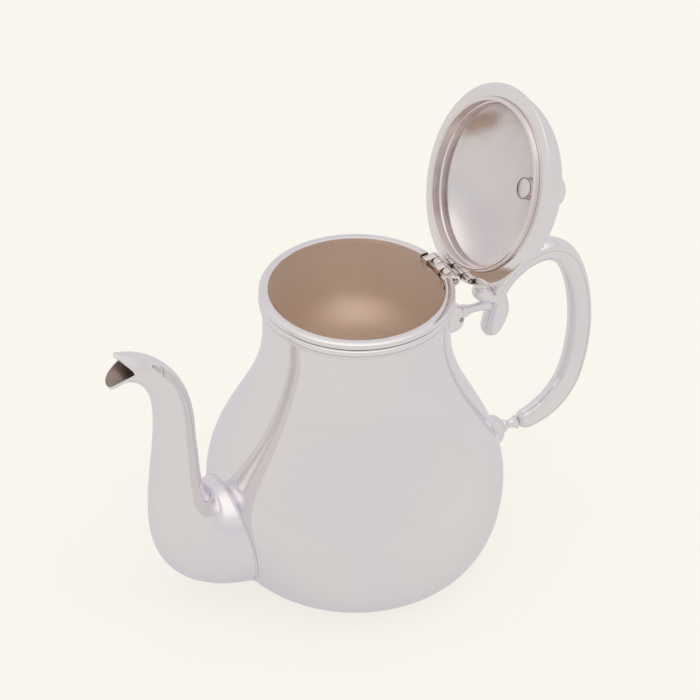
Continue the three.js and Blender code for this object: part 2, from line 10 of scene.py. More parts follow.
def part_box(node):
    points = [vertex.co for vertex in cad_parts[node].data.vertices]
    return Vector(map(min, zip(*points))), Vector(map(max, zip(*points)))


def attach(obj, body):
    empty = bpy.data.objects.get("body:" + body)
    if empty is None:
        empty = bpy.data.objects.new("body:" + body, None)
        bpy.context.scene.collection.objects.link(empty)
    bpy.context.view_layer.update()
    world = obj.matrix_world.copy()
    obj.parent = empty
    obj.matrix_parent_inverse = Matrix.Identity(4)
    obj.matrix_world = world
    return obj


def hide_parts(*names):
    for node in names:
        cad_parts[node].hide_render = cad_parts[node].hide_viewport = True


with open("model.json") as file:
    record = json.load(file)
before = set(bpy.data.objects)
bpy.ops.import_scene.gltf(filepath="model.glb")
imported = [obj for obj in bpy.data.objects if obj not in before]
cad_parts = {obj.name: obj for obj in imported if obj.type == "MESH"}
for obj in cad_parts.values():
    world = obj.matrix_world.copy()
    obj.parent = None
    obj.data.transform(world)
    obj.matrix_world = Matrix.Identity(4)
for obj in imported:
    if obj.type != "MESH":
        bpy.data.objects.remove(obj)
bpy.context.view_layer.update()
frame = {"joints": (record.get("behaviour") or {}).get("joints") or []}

# ---------------------------------------------------------------- body
# The pot: one sheet of silver spun to a pear, with a flat bottom and a straight neck for the rim
# wires. Polished outside; inside it is a plain satin with a warm tone from the tea.
MM = 0.001
ROUND = 160  # steps round the large turned pieces
WELD = 0.001  # vertices of a turned piece nearer than this, in mm, are one
TUBE_WELD = 0.002  # the same for a tube
SHARP = 42  # degrees between two faces from which their edge is drawn sharp
CORNER = 50  # degrees between two faces from which their edge is rounded off


def box_mm(node):
    low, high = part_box(node)
    return low / MM, high / MM


def curve(start, lead, trail, end, steps):
    """Points of a Bezier curve, each (radius, height), without the last one."""
    corners = [Vector((*p, 0)) for p in (start, lead, trail, end)]
    return [(p.x, p.y) for p in interpolate_bezier(*corners, steps + 1)][:-1]


def lathe(points, steps=ROUND, closed=False):
    """A piece turned about Z from (radius, height) points in millimetres."""
    bm = bmesh.new()
    chain = [bm.verts.new((r, 0, z)) for r, z in points]
    for a, b in zip(chain, chain[1:] + chain[:1] if closed else chain[1:]):
        bm.edges.new((a, b))
    bmesh.ops.spin(
        bm, geom=bm.verts[:] + bm.edges[:], cent=(0, 0, 0), axis=(0, 0, 1),
        angle=2 * math.pi, steps=steps, use_merge=True)
    bmesh.ops.remove_doubles(bm, verts=bm.verts[:], dist=WELD)
    bmesh.ops.recalc_face_normals(bm, faces=bm.faces[:])
    return bm


def round_off(bm, edges, offset, segments):
    bmesh.ops.bevel(
        bm, geom=edges, offset=offset, offset_type="OFFSET", segments=segments,
        profile=0.5, affect="EDGES", material=-1, clamp_overlap=True)


def soften(bm, offset):
    """Rounds every sharp corner."""
    limit = math.radians(CORNER)
    sharp = [e for e in bm.edges if e.is_manifold and e.calc_face_angle(0) > limit]
    round_off(bm, sharp, offset, 3)


def close_ends(bm):
    """Fills each open end with a face and turns all faces outwards."""
    bmesh.ops.holes_fill(bm, edges=[e for e in bm.edges if e.is_boundary])
    bmesh.ops.recalc_face_normals(bm, faces=bm.faces[:])


def new_piece(name, bm, *finishes):
    """The millimetre mesh as an object in metres, at the origin, smooth but for its sharp edges."""
    bmesh.ops.scale(bm, vec=(MM, MM, MM), verts=bm.verts[:])
    mesh = bpy.data.meshes.new(name)
    bm.to_mesh(mesh)
    bm.free()
    for finish in finishes:
        mesh.materials.append(finish)
    mesh.shade_smooth()
    mesh.set_sharp_from_angle(angle=math.radians(SHARP))
    piece = bpy.data.objects.new(name, mesh)
    bpy.context.scene.collection.objects.link(piece)
    return piece


def new_group(name, inputs, outputs):
    """An empty shader group with its sockets; returns it with its input and output nodes."""
    group = bpy.data.node_groups.new(name, "ShaderNodeTree")
    for label, kind in inputs:
        group.interface.new_socket(name=label, in_out="INPUT", socket_type="NodeSocket" + kind)
    for label, kind in outputs:
        group.interface.new_socket(name=label, in_out="OUTPUT", socket_type="NodeSocket" + kind)
    return group, group.nodes.new("NodeGroupInput"), group.nodes.new("NodeGroupOutput")


def add(tree, kind, settings=(), **values):
    """A node with its settings and the values of its named sockets."""
    node = tree.nodes.new(kind)
    for key, value in dict(settings).items():
        setattr(node, key, value)
    for key, value in values.items():
        node.inputs[key.replace("_", " ")].default_value = value
    return node


def polish_marks_group():
    """Buffing: slow changes in gloss, hairline scratches one way, and a faint wave in the sheet."""
    hair_dulling = 0.035
    hair_relief = 0.012
    group, given, made = new_group(
        "polish_marks",
        [("Vector", "Vector"), ("Dull", "Float"), ("Bright", "Float")],
        [("Roughness", "Float"), ("Height", "Float"), ("Tone", "Float")])
    patches = add(group, "ShaderNodeTexNoise", Scale=26, Detail=3, Roughness=0.6)
    hairs = add(group, "ShaderNodeTexNoise", Scale=60, Detail=5, Roughness=0.75)
    stretch = add(group, "ShaderNodeMapping", Scale=(5, 60, 22), Rotation=(0.5, 0.3, 0.9))
    waves = add(group, "ShaderNodeTexNoise", Scale=17, Detail=0, Roughness=0.4)
    level = add(group, "ShaderNodeMapRange", From_Min=0.32, From_Max=0.68)
    hair_level = add(group, "ShaderNodeMath", {"operation": "MULTIPLY_ADD"})
    hair_level.inputs[1].default_value = hair_dulling
    height = add(group, "ShaderNodeMath", {"operation": "MULTIPLY_ADD"})
    height.inputs[1].default_value = hair_relief
    link = group.links.new
    for noise in (patches, waves):
        link(given.outputs["Vector"], noise.inputs["Vector"])
    link(given.outputs["Vector"], stretch.inputs["Vector"])
    link(stretch.outputs["Vector"], hairs.inputs["Vector"])
    link(patches.outputs["Fac"], level.inputs["Value"])
    link(given.outputs["Bright"], level.inputs["To Min"])
    link(given.outputs["Dull"], level.inputs["To Max"])
    link(hairs.outputs["Fac"], hair_level.inputs[0])
    link(level.outputs["Result"], hair_level.inputs[2])
    link(hairs.outputs["Fac"], height.inputs[0])
    link(waves.outputs["Fac"], height.inputs[2])
    link(hair_level.outputs[0], made.inputs["Roughness"])
    link(height.outputs[0], made.inputs["Height"])
    link(waves.outputs["Fac"], made.inputs["Tone"])
    return group


def turning_group():
    """Satin left by turning: fine rings about the piece's own axis, broken here and there."""
    change_along_ring = 0.004
    group, given, made = new_group(
        "turning_rings",
        [("Vector", "Vector"), ("Dull", "Float"), ("Bright", "Float")],
        [("Roughness", "Float"), ("Height", "Float"), ("Tone", "Float")])
    parts = add(group, "ShaderNodeSeparateXYZ")
    flat = add(group, "ShaderNodeCombineXYZ")
    radius = add(group, "ShaderNodeVectorMath", {"operation": "LENGTH"})
    angle = add(group, "ShaderNodeMath", {"operation": "ARCTAN2"})
    short = add(group, "ShaderNodeMath", {"operation": "MULTIPLY"})
    short.inputs[1].default_value = change_along_ring
    along = add(group, "ShaderNodeCombineXYZ")
    rings = add(group, "ShaderNodeTexNoise", Scale=420, Detail=2, Roughness=0.6)
    patches = add(group, "ShaderNodeTexNoise", Scale=34, Detail=2, Roughness=0.5)
    level = add(group, "ShaderNodeMapRange", From_Min=0.3, From_Max=0.7)
    link = group.links.new
    link(given.outputs["Vector"], parts.inputs[0])
    link(given.outputs["Vector"], patches.inputs["Vector"])
    link(parts.outputs["X"], flat.inputs["X"])
    link(parts.outputs["Y"], flat.inputs["Y"])
    link(flat.outputs[0], radius.inputs[0])
    link(parts.outputs["Y"], angle.inputs[0])
    link(parts.outputs["X"], angle.inputs[1])
    link(angle.outputs[0], short.inputs[0])
    link(radius.outputs["Value"], along.inputs["X"])
    link(parts.outputs["Z"], along.inputs["Y"])
    link(short.outputs[0], along.inputs["Z"])
    link(along.outputs[0], rings.inputs["Vector"])
    link(rings.outputs["Fac"], level.inputs["Value"])
    link(given.outputs["Bright"], level.inputs["To Min"])
    link(given.outputs["Dull"], level.inputs["To Max"])
    link(level.outputs["Result"], made.inputs["Roughness"])
    link(rings.outputs["Fac"], made.inputs["Height"])
    link(patches.outputs["Fac"], made.inputs["Tone"])
    return group


def metal(name, marks, light, shade, bright, dull, bump, turn=None, crevice_shade=None, metallic=1):
    """Bare metal whose tone, gloss and surface follow one of the mark groups. turn is a (centre,
    angle about Y) for the pattern; crevice_shade is (depth of crevice in mm, colour of the painted
    shade in it), which darkens the base colour where ambient occlusion finds a crevice."""
    finish = bpy.data.materials.new(name)
    finish.use_nodes = True
    tree = finish.node_tree
    shader = tree.nodes["Principled BSDF"]
    shader.inputs["Metallic"].default_value = metallic
    shader.inputs["Specular Tint"].default_value = (0.95, 0.93, 1, 1)
    place = add(tree, "ShaderNodeTexCoord")
    pattern = add(tree, "ShaderNodeGroup", {"node_tree": marks}, Dull=dull, Bright=bright)
    tone = add(tree, "ShaderNodeValToRGB")
    for stop, position, colour in zip(tone.color_ramp.elements, (0.36, 0.64), (shade, light)):
        stop.position = position
        stop.color = (*colour, 1)
    relief = add(tree, "ShaderNodeBump", Strength=1, Distance=bump)
    link = tree.links.new
    if turn:
        centre, angle = turn
        back = add(tree, "ShaderNodeMapping", {"vector_type": "TEXTURE"})
        back.inputs["Location"].default_value = centre
        back.inputs["Rotation"].default_value = (0, angle, 0)
        link(place.outputs["Object"], back.inputs["Vector"])
        link(back.outputs["Vector"], pattern.inputs["Vector"])
    else:
        link(place.outputs["Object"], pattern.inputs["Vector"])
    link(pattern.outputs["Tone"], tone.inputs["Fac"])
    # Painted shade: where ambient occlusion finds a crevice, the base colour is mixed towards the
    # given dark colour.
    if crevice_shade:
        depth, dark = crevice_shade
        crevice = add(tree, "ShaderNodeAmbientOcclusion", {"samples": 8}, Distance=depth * MM)
        reach = add(tree, "ShaderNodeMapRange", From_Min=0.35, From_Max=0.85)
        wash = add(tree, "ShaderNodeMix", {"data_type": "RGBA"})
        wash.inputs[6].default_value = (*dark, 1)
        link(crevice.outputs["AO"], reach.inputs["Value"])
        link(reach.outputs["Result"], wash.inputs["Factor"])
        link(tone.outputs["Color"], wash.inputs[7])
        link(wash.outputs[2], shader.inputs["Base Color"])
    else:
        link(tone.outputs["Color"], shader.inputs["Base Color"])
    link(pattern.outputs["Roughness"], shader.inputs["Roughness"])
    link(pattern.outputs["Height"], relief.inputs["Height"])
    link(relief.outputs["Normal"], shader.inputs["Normal"])
    return finish


polish_marks = polish_marks_group()
turning_rings = turning_group()
polished = metal(
    "polished_silver", polish_marks, light=(0.9, 0.875, 0.865), shade=(0.865, 0.85, 0.885),
    bright=0.03, dull=0.08, bump=0.000004)
tea_satin = metal(
    "tea_satin", polish_marks, light=(0.895, 0.805, 0.72), shade=(0.86, 0.74, 0.645),
    bright=0.3, dull=0.33, bump=0.00002, metallic=0.5)

body_high = box_mm("body_shell")[1]
belly = body_high.y
belly_height = 36
neck = 39
neck_height = 115
base = 46
body_wall = 1.2
body_top = body_high.z
foot_pull = 0.55  # shares that set how full the pear's curves are
belly_pull = 0.38
shoulder_start = 0.36
shoulder_end = 0.45
neck_lead = 4


def body_outline(inset):
    """The pear from the edge of its base to the top of its neck, moved inwards by inset."""
    side = belly - inset
    throat = neck - inset
    upper_part = neck_height - belly_height
    foot = curve(
        (base, inset), (base + foot_pull * (belly - base), inset),
        (side, belly_pull * belly_height), (side, belly_height), 28)
    shoulder = curve(
        (side, belly_height), (side, belly_height + shoulder_start * upper_part),
        (throat, neck_height - shoulder_end * upper_part), (throat, neck_height), 44)
    straight = curve(
        (throat, neck_height), (throat, neck_height + neck_lead),
        (throat, body_top - neck_lead), (throat, body_top), 4)
    return foot + shoulder + straight + [(throat, body_top)]


def body_radius(height):
    """Outside radius of the pear at a height."""
    outline = body_outline(0)
    for (r0, z0), (r1, z1) in zip(outline, outline[1:]):
        if z0 <= height <= z1:
            return r0 + (r1 - r0) * (height - z0) / (z1 - z0)
    return base if height < 0 else neck


outside = body_outline(0)
inside = body_outline(body_wall)[::-1]
floor_rings = 10
bottom = [(base * i / floor_rings, 0) for i in range(floor_rings)]
inner_floor = [(base * i / floor_rings, body_wall) for i in reversed(range(floor_rings))]
bm = lathe(bottom + outside + inside + inner_floor)
for face in bm.faces:
    middle = face.calc_center_median()
    wall_middle = body_radius(middle.z) - body_wall / 2
    if middle.z > body_wall / 2 and Vector((middle.x, middle.y)).length < wall_middle:
        face.material_index = 1
body = new_piece("pear_body", bm, polished, tea_satin)
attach(body, "pot")
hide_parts("body_shell")

# ---------------------------------------------------------------- spout
# A swan neck raised in two halves and soldered along the middle, made here as one skin, wide at its
# root and ending in a beak. The root is fitted to the belly; the mouth is cut back at the sides.
spout_rows = [  # (out, up) on the inner side, (out, up) on the outer side, half-width
    ((-12, 23.5), (-14, -24.2), 25.8),
    ((-1.9, 24.2), (-5.5, -23.6), 24.9),
    ((2.9, 23.7), (7, -21.4), 22.4),
    ((5.9, 25.8), (18.5, -15.8), 19),
    ((7.7, 29.3), (26.5, -6.2), 16),
    ((8.7, 35), (30.8, 7), 13.7),
    ((9.3, 42), (31.4, 23), 12),
    ((9.7, 50), (30.1, 39), 10.7),
    ((10.3, 59), (28.4, 53), 9.6),
    ((10.8, 69.3), (27.3, 67), 9.1),
    ((12.6, 79.6), (27.7, 77.6), 8.9),
    ((16.4, 89), (29.6, 84.4), 8.7),
    ((22.2, 96.6), (32.5, 89.8), 8.3),
    ((29.3, 102.4), (36.4, 93.4), 7.9),
    ((36.5, 106), (40.8, 94.6), 7.5),
    ((46, 108.8), (48, 91.6), 7.2),
]
mouth_edge = [  # (height, out) of the beak's edge seen from the side, from its lip to its tip
    (90, 46.8), (92.2, 46.1), (93.2, 45.6), (94.3, 44.8), (95.6, 43.5), (97, 41.6), (98.4, 39.4),
    (99.5, 37.7), (100.4, 36.9),
    (101.6, 37.1), (103, 38.2), (105.5, 40.5), (107.9, 42.5), (112, 46),
]
spout_wall = 1.1
root_height = 27
root_out = body_radius(root_height)
ridge_from = 0.8  # share of the length from which the inner side draws in to a ridge
ridge_depth = 0.36
spout_facets = 96
spout_steps = 150
root_search = 0.3  # the root lies before this share of the length, the mouth after the next
mouth_search = 0.86
crotch_out = 16  # the part between spout and belly that is filed smooth
crotch_low = 8
crotch_high = 48
crotch_passes = 12


def between(values, place):
    """The value at a place, 0 to 1, on a smooth run through values of one or more numbers."""
    last = len(values) - 1
    i = min(int(place * last), last - 1)
    t = place * last - i
    p0, p1, p2, p3 = (Vector(values[min(max(k, 0), last)]) for k in (i - 1, i, i + 1, i + 2))
    if i == 0:
        p0 = 2 * p1 - p2
    if i + 1 == last:
        p3 = 2 * p2 - p1
    return 0.5 * (
        2 * p1 + (p2 - p0) * t + (2 * p0 - 5 * p1 + 4 * p2 - p3) * t * t
        + (3 * p1 - p0 - 3 * p2 + p3) * t * t * t)


def wrap(surface, around, along):
    """A tube made from a grid, each vertex moved to surface(turn, length), both 0 to 1."""
    bm = bmesh.new()
    bmesh.ops.create_grid(bm, x_segments=around, y_segments=along, size=0.5)
    for vert in bm.verts:
        vert.co = surface(vert.co.x + 0.5, vert.co.y + 0.5)
    bmesh.ops.remove_doubles(bm, verts=bm.verts[:], dist=TUBE_WELD)
    bmesh.ops.recalc_face_normals(bm, faces=bm.faces[:])
    return bm


spout_lines = [(*inner, *outer) for inner, outer, half_width in spout_rows]
spout_widths = [(half_width, 0) for inner, outer, half_width in spout_rows]


def spout_point(turn, length):
    """A point on the spout's outside; turn 0.25 is on its inner side, 0.75 on its outer side."""
    row = [between([(v[k], v[k + 1]) for v in spout_lines], length) for k in (0, 2)]
    inner, outer = (Vector((-(root_out + p.x), 0, root_height + p.y)) for p in row)
    middle = (inner + outer) / 2
    up = (inner - outer).normalized()
    rise = math.sin(2 * math.pi * turn)
    ease = min(max((length - ridge_from) / (1 - ridge_from), 0), 1)
    pinch = 1 - ridge_depth * ease * ease * (3 - 2 * ease) * max(rise, 0)
    width = between(spout_widths, length).x * math.cos(2 * math.pi * turn) * pinch
    return middle + up * ((inner - outer).length / 2) * rise + Vector((0, width, 0))


def outside_body(point):
    return Vector((point.x, point.y)).length > body_radius(point.z)


def past_mouth(point):
    height = point.z - root_height
    for (z0, out0), (z1, out1) in zip(mouth_edge, mouth_edge[1:]):
        if z0 <= height <= z1:
            return -point.x - root_out > out0 + (out1 - out0) * (height - z0) / (z1 - z0)
    return False


def crossing(turn, low, high, test):
    """Where along the spout its line at one turn first passes the test."""
    for halving in range(22):
        middle = (low + high) / 2
        if test(spout_point(turn, middle)):
            high = middle
        else:
            low = middle
    return (low + high) / 2


turns = [i / spout_facets for i in range(spout_facets + 1)]
root_at = [crossing(turn, 0, root_search, outside_body) for turn in turns]
mouth_at = [crossing(turn, mouth_search, 1, past_mouth) for turn in turns]


def spout_surface(turn, length):
    i = round(turn * spout_facets)
    return spout_point(turn, root_at[i] + (mouth_at[i] - root_at[i]) * length)


bm = wrap(spout_surface, spout_facets, spout_steps)
crotch = [
    v for v in bm.verts
    if not v.is_boundary and v.co.x > -root_out - crotch_out
    and root_height + crotch_low < v.co.z < root_height + crotch_high]
for smoothing in range(crotch_passes):
    bmesh.ops.smooth_vert(
        bm, verts=crotch, factor=0.5, use_axis_x=True, use_axis_y=True, use_axis_z=True)
# Inside the spout: the warm brown is a tea stain, and the much darker tone is painted shade inside
# the narrow tube.
spout_stain_and_shade = metal(
    "spout_inside", turning_rings, light=(0.7, 0.58, 0.51), shade=(0.36, 0.27, 0.24),
    bright=0.2, dull=0.45, bump=0.00006, metallic=0.4)
spout = new_piece("swan_spout", bm, polished, spout_stain_and_shade)
shell = spout.modifiers.new("wall", "SOLIDIFY")
shell.thickness = spout_wall * MM
shell.offset = -1
shell.material_offset = 1
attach(spout, "pot")
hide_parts("spout_left", "spout_right")

# ---------------------------------------------------------------- wire round the spout's root
# A fine half-round wire laid in the corner between belly and spout, which hides the solder.
wire_radius = 0.55
wire_step = 0.004


def wire_surface(turn, length):
    """A round wire that follows the spout's root; length runs round the spout."""
    i = length * spout_facets
    low = int(i) % spout_facets
    along_root = root_at[low] + (root_at[(low + 1) % spout_facets] - root_at[low]) * (i - int(i))
    at = spout_point(length, along_root)
    beyond = length + wire_step
    ahead = spout_point(beyond, crossing(beyond, 0, root_search, outside_body)) - at
    away = Vector((at.x, at.y, 0)).normalized()
    side = ahead.normalized().cross(away)
    a = 2 * math.pi * turn
    return at + (away * math.cos(a) + side * math.sin(a)) * wire_radius


bm = wrap(wire_surface, 10, spout_facets)
# The wire silver is darkened in its grooves, where ambient occlusion finds them: painted shade
# under the lip and between the band's steps.
wire_silver = metal(
    "wire_silver", polish_marks, light=(0.91, 0.885, 0.875), shade=(0.875, 0.86, 0.885),
    bright=0.04, dull=0.1, bump=0.000004, crevice_shade=(0.9, (0.24, 0.18, 0.16)))
root_wire = new_piece("root_wire", bm, wire_silver)
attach(root_wire, "pot")
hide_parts("spout_root_wire")

# ---------------------------------------------------------------- rim wires
# Two turned wires soldered round the neck: a flat lip on top and a stepped band under it. Both stop
# at the hinge, where a gap is cut for its leaf.
rim_low, rim_high = box_mm("rim_lip")
band_low, band_high = box_mm("rim_band")
rim_top = rim_high.z
rim = rim_high.y
mouth = 36.5
lip_height = rim_high.z - rim_low.z
band = band_high.y
hinge_low, hinge_high = box_mm("hinge_pin")
hinge = Vector(((hinge_low.x + hinge_high.x) / 2, 0, (hinge_low.z + hinge_high.z) / 2))
joint_gap = 0.3
hinge_half = hinge_high.y + joint_gap / 2
notch_half = hinge_half + joint_gap


def cut_ring(points, half_gap, keep_gap=False):
    """A turned ring with a gap of that half-width across Y at +X, or only what fills the gap."""
    bm = lathe(points, closed=True)
    for y in (-half_gap, half_gap):
        whole = bm.verts[:] + bm.edges[:] + bm.faces[:]
        bmesh.ops.bisect_plane(bm, geom=whole, plane_co=(0, y, 0), plane_no=(0, 1, 0))
    unwanted = [
        f for f in bm.faces
        if (f.calc_center_median().x > 0 and abs(f.calc_center_median().y) < half_gap) != keep_gap]
    bmesh.ops.delete(bm, geom=unwanted, context="FACES")
    close_ends(bm)
    return bm


lip_crown = 0.25
lip_points = (
    [(mouth, rim_top - lip_height), (mouth, rim_top - 0.5)]
    + curve((mouth, rim_top - 0.5), (mouth, rim_top - 0.1), (mouth + 0.1, rim_top - 0.05),
            (mouth + 0.6, rim_top - 0.02), 5)
    + curve((mouth + 0.6, rim_top - 0.02), (mouth + 1.4, rim_top), (rim - 1.6, rim_top),
            (rim - 0.9, rim_top - lip_crown), 6)
    + curve((rim - 0.9, rim_top - lip_crown), (rim - 0.1, rim_top - 0.5), (rim, rim_top - 0.8),
            (rim, rim_top - 1.4), 7)
    + curve((rim, rim_top - 1.4), (rim, rim_top - lip_height + 0.3),
            (rim - 0.3, rim_top - lip_height), (rim - 1.1, rim_top - lip_height), 6))
bm = cut_ring(lip_points, notch_half)
for face in bm.faces:
    middle = face.calc_center_median()
    if Vector((middle.x, middle.y)).length < mouth + 0.05 and middle.z < rim_top - 0.3:
        face.material_index = 1
lip = new_piece("lip_wire", bm, wire_silver, tea_satin)
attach(lip, "pot")
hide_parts("rim_lip")

band_top = band_high.z
band_bottom = band_low.z
band_points = (
    [(neck - 0.1, band_top), (band - 1.3, band_top)]
    + curve((band - 1.3, band_top), (band - 1, band_top - 0.1), (band - 0.9, band_top - 0.5),
            (band - 0.55, band_top - 0.6), 4)
    + curve((band - 0.55, band_top - 0.6), (band, band_top - 0.8), (band, band_top - 2.4),
            (band - 0.5, band_top - 2.7), 9)
    + curve((band - 0.5, band_top - 2.7), (band - 0.7, band_top - 2.8),
            (band - 0.7, band_top - 2.9), (band - 0.5, band_top - 3), 4)
    + curve((band - 0.5, band_top - 3), (band - 0.2, band_top - 3.3),
            (band - 0.3, band_bottom + 0.3), (band - 0.9, band_bottom), 7)
    + [(band - 0.9, band_bottom), (neck - 0.1, band_bottom)])
bm = cut_ring(band_points, notch_half)
band_wire = new_piece("band_wire", bm, wire_silver)
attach(band_wire, "pot")
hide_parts("rim_band")

# ---------------------------------------------------------------- sockets for the handle
# Two cast sockets soldered to the body. Each starts squarish on the belly and narrows to a nose,
# where the handle's stem goes in. Only the outside is made; the bore for the tenon is hidden.


def block(outline, half_width, rounding, segments):
    """A side-view outline of (x, z) points made into a block across Y with its edges rounded."""
    bm = bmesh.new()
    chain = [bm.verts.new((x, -half_width, z)) for x, z in outline]
    face = bm.faces.new(chain)
    side = bmesh.ops.extrude_face_region(bm, geom=[face])
    moved = [v for v in side["geom"] if isinstance(v, bmesh.types.BMVert)]
    bmesh.ops.translate(bm, vec=(0, 2 * half_width, 0), verts=moved)
    bmesh.ops.recalc_face_normals(bm, faces=bm.faces[:])
    rims = [e for e in bm.edges if abs(e.verts[0].co.y - e.verts[1].co.y) < 0.001]
    round_off(bm, rims, rounding, segments)
    return bm


socket_half = 4.5
socket_root = 0.5  # how deep its edge goes into the wall
socket_sunk = 2
socket_lean = 0.7
nose_square = 8  # powers: the higher, the squarer
top_fall = 3
bottom_fall = 7
side_square = 0.66  # powers: the lower, the squarer
roof_square = 0.8
for name, node in (("upper_bracket", "upper_socket"), ("lower_bracket", "lower_socket")):
    low, high = box_mm(node)
    height = (low.z + high.z) / 2
    half_tall = (high.z - low.z) / 2
    start = body_radius(height + half_tall * socket_lean) - socket_sunk
    reach = high.x - start

    def tongue(turn, length):
        """Squarish where it meets the body and rounded off to the nose."""
        out = math.sin(length * math.pi / 2)
        wide = socket_half * math.sqrt(max(1 - out ** nose_square, 0))
        a = 2 * math.pi * turn
        fall = top_fall if turn < 0.5 else bottom_fall
        tall = half_tall * math.sqrt(max(1 - out ** fall, 0))
        across = math.copysign(abs(math.cos(a)) ** side_square, math.cos(a))
        up = math.copysign(abs(math.sin(a)) ** roof_square, math.sin(a))
        skin = body_radius(height + tall * up) - socket_root
        skin_x = math.sqrt(max(skin ** 2 - (wide * across) ** 2, 0))
        return Vector((max(start + reach * out, skin_x), wide * across, height + tall * up))

    bm = wrap(tongue, 48, 40)
    close_ends(bm)
    bracket = new_piece(name, bm, polished)
    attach(bracket, "pot")
    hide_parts(node)

# ---------------------------------------------------------------- pins through the sockets
# Drawn pins, filed flush. The upper one shows as a dark ring; the lower one is buffed over with its
# socket and hardly shows.
steel = metal(
    "filed_pin", polish_marks, light=(0.6, 0.55, 0.52), shade=(0.4, 0.35, 0.33),
    bright=0.2, dull=0.38, bump=0.00006)
gap_dark = metal(
    "joint_line", polish_marks, light=(0.1, 0.07, 0.06), shade=(0.05, 0.035, 0.03),
    bright=0.5, dull=0.7, bump=0.00002)
pin_radius = 1
pin_collar = 0.3
pin_sunk = 0.2
collar_sunk = 0.06


def cross_pin(x, z, half_length, radius, ring):
    """A pin along Y with domed ends, and a dark collar of that width round it, as one mesh."""
    bm = bmesh.new()
    across = Matrix.Translation((x, 0, z)) @ Matrix.Rotation(math.pi / 2, 4, "X")
    bmesh.ops.create_cone(
        bm, cap_ends=True, segments=32, radius1=radius, radius2=radius,
        depth=2 * half_length, matrix=across)
    ends = [f for f in bm.faces if len(f.verts) > 4]
    bmesh.ops.inset_region(bm, faces=ends, thickness=radius * 0.25, depth=radius * 0.08)
    collar = bmesh.ops.create_cone(
        bm, cap_ends=True, segments=32, radius1=radius + ring, radius2=radius + ring,
        depth=2 * (half_length - collar_sunk), matrix=across)
    for face in {f for v in collar["verts"] for f in v.link_faces}:
        face.material_index = 1
    return bm


for name, node, finishes in (
        ("upper_pin", "upper_socket_pin", (steel, gap_dark)),
        ("lower_pin", "lower_socket_pin", (polished, polished))):
    low, high = box_mm(node)
    bm = cross_pin(
        (low.x + high.x) / 2, (low.z + high.z) / 2, socket_half - pin_sunk, pin_radius, pin_collar)
    pin = new_piece(name, bm, *finishes)
    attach(pin, "pot")
    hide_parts(node)

# ---------------------------------------------------------------- stems
# Turned stems join sockets to handle: each is waisted, with a small collar where it enters the
# socket, and widens again towards the handle.


def stem(start, end, height, radius):
    span = end - start
    points = (
        [(0, -1), (radius * 1.05, -1)]
        + curve((radius * 1.05, 0), (radius * 1.2, 0.1 * span), (radius * 0.72, 0.1 * span),
                (radius * 0.7, 0.35 * span), 10)
        + curve((radius * 0.7, 0.35 * span), (radius * 0.7, 0.7 * span),
                (radius * 0.85, 0.85 * span), (radius * 1.3, 1.05 * span), 10)
        + [(0, 1.05 * span)])
    bm = lathe(points, 48)
    lying = Matrix.Rotation(math.pi / 2, 3, "Y")
    bmesh.ops.rotate(bm, cent=(0, 0, 0), matrix=lying, verts=bm.verts[:])
    bmesh.ops.translate(bm, vec=(start, 0, height), verts=bm.verts[:])
    return bm


stem_radius = 2.7
for name, node, bracket in (
        ("upper_neck", "upper_stem", "upper_socket"), ("lower_neck", "lower_stem", "lower_socket")):
    low, high = box_mm(node)
    bm = stem(box_mm(bracket)[1].x, high.x, (low.z + high.z) / 2, stem_radius)
    neck_piece = new_piece(name, bm, polished)
    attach(neck_piece, "pot")
    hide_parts(node)

# ---------------------------------------------------------------- handle limb
# The C-shaped limb is soldered from two long halves, a rounded back and a flatter face to the hand,
# and the seam shows as a fine line along each side.
limb_rows = [  # (share along the line between the ends, share of the reach out from it), size
    ((0, 0), 0.82), ((-0.084, 0.169), 0.9), ((-0.138, 0.397), 0.97), ((-0.1405, 0.642), 1),
    ((-0.0895, 0.814), 1), ((-0.006, 0.922), 1), ((0.125, 0.982), 1), ((0.27, 1), 1),
    ((0.425, 0.98), 1), ((0.569, 0.924), 1), ((0.71, 0.834), 1), ((0.846, 0.696), 1),
    ((0.952, 0.468), 0.97), ((0.9975, 0.209), 0.88), ((1, 0), 0.76),
]
upper_low, upper_high = box_mm("upper_stem")
lower_low, lower_high = box_mm("lower_stem")
nose_upper = box_mm("upper_socket")[1].x
nose_lower = box_mm("lower_socket")[1].x
stem_upper = 10.5
stem_lower = 5
limb_top = Vector((nose_upper + stem_upper + 4.9, 0, (upper_low.z + upper_high.z) / 2 + 5.5))
limb_end = Vector((nose_lower + stem_lower + 1.8, 0, (lower_low.z + lower_high.z) / 2 - 0.5))
limb_reach = 39.7
limb_width = 11
limb_depth = 10
limb_rounding = 0.45
face_turn = 0.8  # share of the turn that makes the round side; the rest makes the flat one
seam_gap = 0.04
tip_size = 0.004
middle_share = 0.6  # share of the depth behind the limb's middle line
seam_in = 1  # seam from the middle line towards the hand
end_round = 0.035  # share of the length over which the lower end closes to a dome
limb_line = limb_end - limb_top
limb_out = Vector((-limb_line.z, 0, limb_line.x)).normalized()
limb_places = [place for place, size in limb_rows]
limb_sizes = [(size, 0) for place, size in limb_rows]


def limb_at(length):
    along, out = between(limb_places, length)
    return limb_top + limb_line * along + limb_out * limb_reach * out


